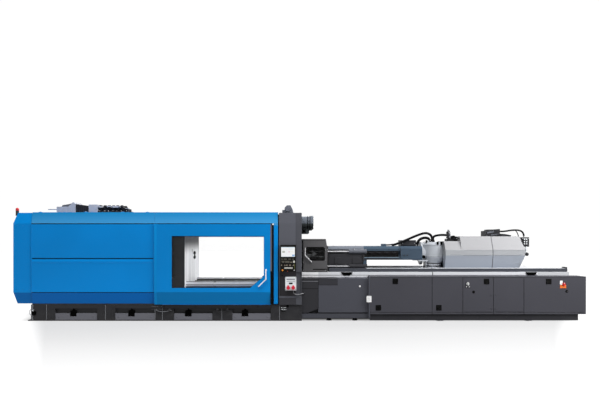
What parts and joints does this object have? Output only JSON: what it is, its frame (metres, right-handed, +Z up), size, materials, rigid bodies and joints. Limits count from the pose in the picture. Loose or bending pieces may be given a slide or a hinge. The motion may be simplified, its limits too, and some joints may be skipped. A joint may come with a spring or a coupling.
{
  "type": "injection moulding machine",
  "caption": "Large two-platen injection moulding machine with a closed clamp unit, sliding gates, a retracting injection unit on its bed and a row of switch cabinets.",
  "frame": {"origin": "middle of the machine's footprint on the floor, on the underside of the clamp base", "axes": "+X along the machine to the injection end, +Y away from the operator, +Z up"},
  "size_m": [13.79, 2.9513, 2.905],
  "materials": {
    "blue_paint": "semi-gloss sheet steel",
    "base_paint": "satin dark grey",
    "grey_paint": "satin mid grey",
    "ledge_grey": "satin grey",
    "cast_platen": "painted casting with a ground face",
    "chromed_steel": "ground and chromed",
    "machined_steel": "machined",
    "light_rail": "satin light grey",
    "guard_grey": "satin dark grey",
    "slate_paint": "semi-gloss slate blue",
    "silver_casting": "blasted casting",
    "drive_paint": "semi-gloss light grey",
    "cabinet_paint": "textured dark grey",
    "screen_glass": "lit screen",
    "panel_plastic": "matt black",
    "socket_plastic": "white housing",
    "red_plastic": "red",
    "orange_plastic": "orange",
    "clear_pane": "clear sheet",
    "dark_pane": "tinted sheet",
    "hose_rubber": "black hose",
    "cable_grey": "grey cable sheath",
    "handle_steel": "anodised bar"
  },
  "bodies": {
    "machine": {"clamp_base": "base_paint", "base_ledges": "ledge_grey", "fixed_platen": "cast_platen", "tie_bars": "chromed_steel", "clamp_cylinders": "grey_paint", "stroke_rods": "chromed_steel", "end_cap": "blue_paint", "front_panel": "blue_paint", "rear_panel": "blue_paint", "roof_frame": "blue_paint", "platen_cover_front": "grey_paint", "platen_cover_rear": "grey_paint", "control_panel": "panel_plastic", "control_screen": "screen_glass", "socket_box": "socket_plastic", "socket_cable": "cable_grey", "beacon": "red_plastic", "roof_cabinet": "drive_paint", "roof_valve_gear": "base_paint", "hydraulic_unit": "grey_paint", "bed_frame": "base_paint", "bed_edge_rails": "light_rail", "guide_beams": "base_paint", "bed_covers": "cabinet_paint", "carriage_rods": "chromed_steel", "cabinet_body": "cabinet_paint"},
    "moving_platen": {"movable_platen": "cast_platen", "stroke_cylinders": "base_paint", "ejector_cylinder": "base_paint"},
    "ejector": {"ejector_rod": "machined_steel"},
    "lock_front": {"lock_halves_front": "machined_steel"},
    "lock_rear": {"lock_halves_rear": "machined_steel"},
    "front_gate": {"gate_front": "blue_paint", "gate_front_pane": "clear_pane", "gate_front_handle": "handle_steel"},
    "rear_gate": {"gate_rear": "blue_paint", "gate_rear_pane": "clear_pane"},
    "nozzle_guard": {"purge_guard": "guard_grey", "purge_panes": "dark_pane"},
    "carriage": {"front_support": "base_paint", "barrel_shroud": "slate_paint", "barrel": "machined_steel", "feed_block": "slate_paint", "casting": "silver_casting", "rear_carriage": "base_paint", "drive_cover_front": "drive_paint", "drive_cover_rear": "drive_paint", "carriage_cylinders": "grey_paint", "drive_gear": "base_paint", "hose_long": "hose_rubber", "hose_thick": "hose_rubber", "hose_rear": "hose_rubber"},
    "injection_ram": {"injection_piston": "machined_steel"},
    "plasticising_screw": {"screw": "machined_steel"},
    "stop_button": {"stop_knob": "orange_plastic"},
    "socket_flaps": {"socket_lids": "red_plastic"},
    "left_door": {"cabinet_door_left": "cabinet_paint"},
    "right_door": {"cabinet_door_right": "cabinet_paint"},
    "door_switch": {"small_switch": "cable_grey"},
    "power_switch": {"main_switch": "orange_plastic"}
  },
  "joints": [
    {"name": "clamp_slide", "type": "slide", "parent": "machine", "child": "moving_platen", "axis": [1, 0, 0], "range_m": [0, 1.5]},
    {"name": "ejector_slide", "type": "slide", "parent": "moving_platen", "child": "ejector", "axis": [1, 0, 0], "range_m": [0, 0.25]},
    {"name": "lock_front_slide", "type": "slide", "parent": "moving_platen", "child": "lock_front", "axis": [0, 1, 0], "range_m": [0, 0.055]},
    {"name": "lock_rear_slide", "type": "slide", "parent": "moving_platen", "child": "lock_rear", "axis": [0, -1, 0], "range_m": [0, 0.055]},
    {"name": "front_gate_slide", "type": "slide", "parent": "machine", "child": "front_gate", "axis": [-1, 0, 0], "range_m": [0, 2.2]},
    {"name": "rear_gate_slide", "type": "slide", "parent": "machine", "child": "rear_gate", "axis": [-1, 0, 0], "range_m": [0, 2.2]},
    {"name": "guard_slide", "type": "slide", "parent": "machine", "child": "nozzle_guard", "axis": [1, 0, 0], "range_m": [0, 0.6]},
    {"name": "carriage_slide", "type": "slide", "parent": "machine", "child": "carriage", "axis": [1, 0, 0], "range_m": [0, 0.42]},
    {"name": "injection_slide", "type": "slide", "parent": "carriage", "child": "injection_ram", "axis": [-1, 0, 0], "range_m": [0, 0.45]},
    {"name": "screw_spin", "type": "hinge", "parent": "injection_ram", "child": "plasticising_screw", "pos_m": [3.64, 0, 1.6], "axis": [1, 0, 0], "continuous": true},
    {"name": "stop_push", "type": "slide", "parent": "machine", "child": "stop_button", "axis": [0, 1, 0], "range_m": [0, 0.006]},
    {"name": "flap_hinge", "type": "hinge", "parent": "machine", "child": "socket_flaps", "pos_m": [-0.209, -1.4933, 0.856], "axis": [-1, 0, 0], "range_deg": [0, 100]},
    {"name": "left_door_hinge", "type": "hinge", "parent": "machine", "child": "left_door", "pos_m": [3.935, -1.4, 0.63], "axis": [0, 0, -1], "range_deg": [0, 110]},
    {"name": "right_door_hinge", "type": "hinge", "parent": "machine", "child": "right_door", "pos_m": [5.398, -1.4, 0.63], "axis": [0, 0, 1], "range_deg": [0, 110]},
    {"name": "door_switch_turn", "type": "hinge", "parent": "left_door", "child": "door_switch", "pos_m": [4.05, -1.4, 0.895], "axis": [0, 1, 0], "range_deg": [0, 90]},
    {"name": "power_switch_turn", "type": "hinge", "parent": "machine", "child": "power_switch", "pos_m": [6.36, -1.4, 0.886], "axis": [0, 1, 0], "range_deg": [0, 90]}
  ],
  "couplings": [
    {"joint": "lock_rear_slide", "follows": "lock_front_slide", "ratio": 1}
  ]
}
